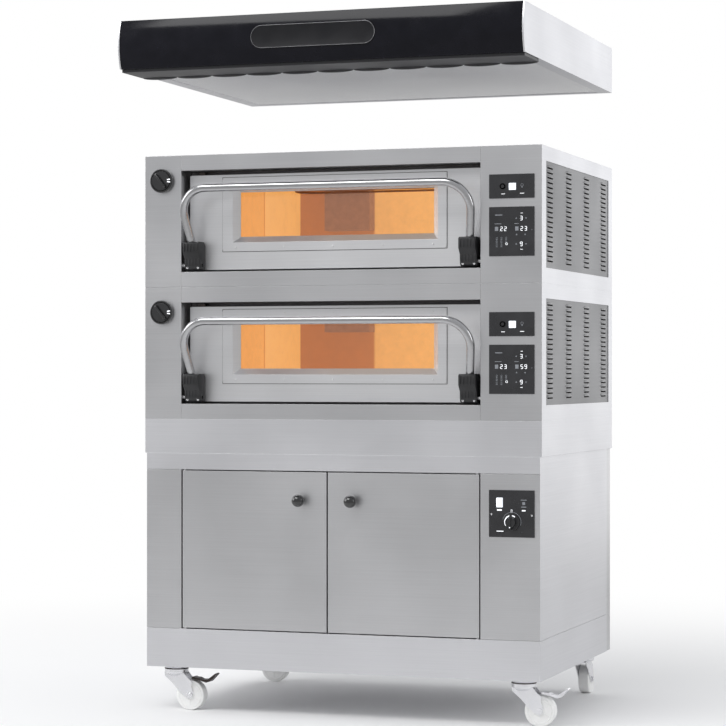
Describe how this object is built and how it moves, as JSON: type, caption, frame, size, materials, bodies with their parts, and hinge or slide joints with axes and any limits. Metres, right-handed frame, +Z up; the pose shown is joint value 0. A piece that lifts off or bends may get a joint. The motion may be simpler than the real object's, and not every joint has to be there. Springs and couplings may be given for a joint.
{
  "type": "deck pizza oven",
  "caption": "Stacked electric pizza oven with glazed drop-down doors on a proving cabinet with castors, under a lift-off extraction hood.",
  "frame": {"origin": "on the floor under the centre of the oven body's footprint", "axes": "+X to the right as seen from the front, +Y to the back, +Z up"},
  "size_m": [1.44, 1.196, 2.327],
  "materials": {
    "stainless": "satin",
    "window_steel": "satin",
    "handle_steel": "polished",
    "chamber_steel": "matte",
    "window_glass": "gloss",
    "black_plastic": "satin",
    "black_ball": "gloss",
    "panel_black": "gloss",
    "lit_switch": "gloss",
    "vent_steel": "satin",
    "mineral_wool": "matte",
    "refractory": "matte",
    "woven_seal": "matte",
    "element_sheath": "matte",
    "lamp_housing": "matte",
    "zinc_plate": "gloss",
    "nylon": "satin",
    "visor_black": "gloss",
    "gutter_black": "satin",
    "filter_alloy": "satin"
  },
  "bodies": {
    "oven": {"lower_casing": "stainless", "lower_front_frame": "stainless", "lower_control_column": "stainless", "lower_chamber": "chamber_steel", "lower_control_panels": "panel_black", "upper_casing": "stainless", "upper_front_frame": "stainless", "upper_control_column": "stainless", "upper_chamber": "chamber_steel", "upper_control_panels": "panel_black", "side_vent_panels": "vent_steel", "chamber_insulation": "mineral_wool", "hearth_stones": "refractory", "door_seals": "woven_seal", "heating_elements": "element_sheath", "oven_lamps": "lamp_housing", "plinth": "stainless", "prover_base": "stainless", "prover_cabinet": "stainless", "prover_back_cover": "stainless", "prover_front_frame": "stainless", "prover_tray_guides": "stainless", "prover_control_panel": "panel_black", "castor_plates": "zinc_plate"},
    "baking_door_lower": {"lower_door": "stainless", "lower_window_frame": "window_steel", "lower_door_glass": "window_glass", "lower_door_handle": "handle_steel", "lower_handle_blocks": "black_plastic"},
    "damper_knob_lower": {"lower_vent_knob": "black_plastic"},
    "power_rocker_lower": {"lower_rocker_switch": "lit_switch"},
    "push_button_lower": {"lower_push_button": "black_plastic"},
    "baking_door_upper": {"upper_door": "stainless", "upper_window_frame": "window_steel", "upper_door_glass": "window_glass", "upper_door_handle": "handle_steel", "upper_handle_blocks": "black_plastic"},
    "damper_knob_upper": {"upper_vent_knob": "black_plastic"},
    "power_rocker_upper": {"upper_rocker_switch": "lit_switch"},
    "push_button_upper": {"upper_push_button": "black_plastic"},
    "cabinet_door_left": {"prover_door_left": "stainless", "prover_knob_left": "black_ball"},
    "cabinet_door_right": {"prover_door_right": "stainless", "prover_knob_right": "black_ball"},
    "rocker_prover": {"prover_rocker_switch": "lit_switch"},
    "thermostat": {"prover_thermostat_knob": "black_plastic"},
    "swivel_front_left": {"castor_fork_front_left": "zinc_plate"},
    "wheel_front_left": {"castor_wheel_front_left": "nylon"},
    "pedal_front_left": {"castor_pedal_front_left": "zinc_plate"},
    "swivel_front_right": {"castor_fork_front_right": "zinc_plate"},
    "wheel_front_right": {"castor_wheel_front_right": "nylon"},
    "pedal_front_right": {"castor_pedal_front_right": "zinc_plate"},
    "swivel_rear_left": {"castor_fork_rear_left": "zinc_plate"},
    "wheel_rear_left": {"castor_wheel_rear_left": "nylon"},
    "swivel_rear_right": {"castor_fork_rear_right": "zinc_plate"},
    "wheel_rear_right": {"castor_wheel_rear_right": "nylon"},
    "hood": {"hood_casing": "stainless", "hood_visor": "visor_black", "hood_gutter": "gutter_black", "hood_filter": "filter_alloy"}
  },
  "joints": [
    {"name": "baking_door_lower", "type": "hinge", "parent": "oven", "child": "baking_door_lower", "pos_m": [0, -0.47, 1.05], "axis": [1, 0, 0], "range_deg": [0, 88]},
    {"name": "damper_knob_lower", "type": "hinge", "parent": "oven", "child": "damper_knob_lower", "pos_m": [-0.622, -0.488, 1.333], "axis": [0, 1, 0], "range_deg": [0, 90]},
    {"name": "power_rocker_lower", "type": "hinge", "parent": "oven", "child": "power_rocker_lower", "pos_m": [0.589, -0.486, 1.2865], "axis": [1, 0, 0], "range_deg": [-14, 0]},
    {"name": "push_button_lower", "type": "slide", "parent": "oven", "child": "push_button_lower", "axis": [0, 1, 0], "range_m": [0, 0.002], "stiffness_N_per_m": 400},
    {"name": "baking_door_upper", "type": "hinge", "parent": "oven", "child": "baking_door_upper", "pos_m": [0, -0.47, 1.489], "axis": [1, 0, 0], "range_deg": [0, 88]},
    {"name": "damper_knob_upper", "type": "hinge", "parent": "oven", "child": "damper_knob_upper", "pos_m": [-0.622, -0.488, 1.772], "axis": [0, 1, 0], "range_deg": [0, 90]},
    {"name": "power_rocker_upper", "type": "hinge", "parent": "oven", "child": "power_rocker_upper", "pos_m": [0.589, -0.486, 1.7255], "axis": [1, 0, 0], "range_deg": [-14, 0]},
    {"name": "push_button_upper", "type": "slide", "parent": "oven", "child": "push_button_upper", "axis": [0, 1, 0], "range_m": [0, 0.002], "stiffness_N_per_m": 400},
    {"name": "cabinet_door_left", "type": "hinge", "parent": "oven", "child": "cabinet_door_left", "pos_m": [-0.543, -0.481, 0.5], "axis": [0, 0, -1], "range_deg": [0, 105]},
    {"name": "cabinet_door_right", "type": "hinge", "parent": "oven", "child": "cabinet_door_right", "pos_m": [0.4715, -0.481, 0.5], "axis": [0, 0, 1], "range_deg": [0, 105]},
    {"name": "power_rocker_prover", "type": "hinge", "parent": "oven", "child": "rocker_prover", "pos_m": [0.5465, -0.4864, 0.719], "axis": [1, 0, 0], "range_deg": [-10, 0]},
    {"name": "thermostat_knob", "type": "hinge", "parent": "oven", "child": "thermostat", "pos_m": [0.587, -0.488, 0.657], "axis": [0, 1, 0], "range_deg": [0, 270]},
    {"name": "swivel_front_left", "type": "hinge", "parent": "oven", "child": "swivel_front_left", "pos_m": [-0.605, -0.408, 0.138], "axis": [0, 0, 1], "continuous": true},
    {"name": "wheel_front_left", "type": "hinge", "parent": "swivel_front_left", "child": "wheel_front_left", "pos_m": [-0.549, -0.408, 0.05], "axis": [0, 1, 0], "continuous": true},
    {"name": "pedal_front_left", "type": "hinge", "parent": "swivel_front_left", "child": "pedal_front_left", "pos_m": [-0.539, -0.408, 0.1075], "axis": [0, 1, 0], "range_deg": [0, 10]},
    {"name": "swivel_front_right", "type": "hinge", "parent": "oven", "child": "swivel_front_right", "pos_m": [0.605, -0.408, 0.138], "axis": [0, 0, 1], "continuous": true},
    {"name": "wheel_front_right", "type": "hinge", "parent": "swivel_front_right", "child": "wheel_front_right", "pos_m": [0.661, -0.408, 0.05], "axis": [0, 1, 0], "continuous": true},
    {"name": "pedal_front_right", "type": "hinge", "parent": "swivel_front_right", "child": "pedal_front_right", "pos_m": [0.671, -0.408, 0.1075], "axis": [0, 1, 0], "range_deg": [0, 10]},
    {"name": "swivel_rear_left", "type": "hinge", "parent": "oven", "child": "swivel_rear_left", "pos_m": [-0.605, 0.38, 0.138], "axis": [0, 0, 1], "continuous": true},
    {"name": "wheel_rear_left", "type": "hinge", "parent": "swivel_rear_left", "child": "wheel_rear_left", "pos_m": [-0.549, 0.38, 0.05], "axis": [0, 1, 0], "continuous": true},
    {"name": "swivel_rear_right", "type": "hinge", "parent": "oven", "child": "swivel_rear_right", "pos_m": [0.605, 0.38, 0.138], "axis": [0, 0, 1], "continuous": true},
    {"name": "wheel_rear_right", "type": "hinge", "parent": "swivel_rear_right", "child": "wheel_rear_right", "pos_m": [0.605, 0.436, 0.05], "axis": [-1, 0, 0], "continuous": true},
    {"name": "canopy_lift", "type": "slide", "parent": "oven", "child": "hood", "axis": [0, 0, 1], "range_m": [-0.2675, 0]}
  ]
}
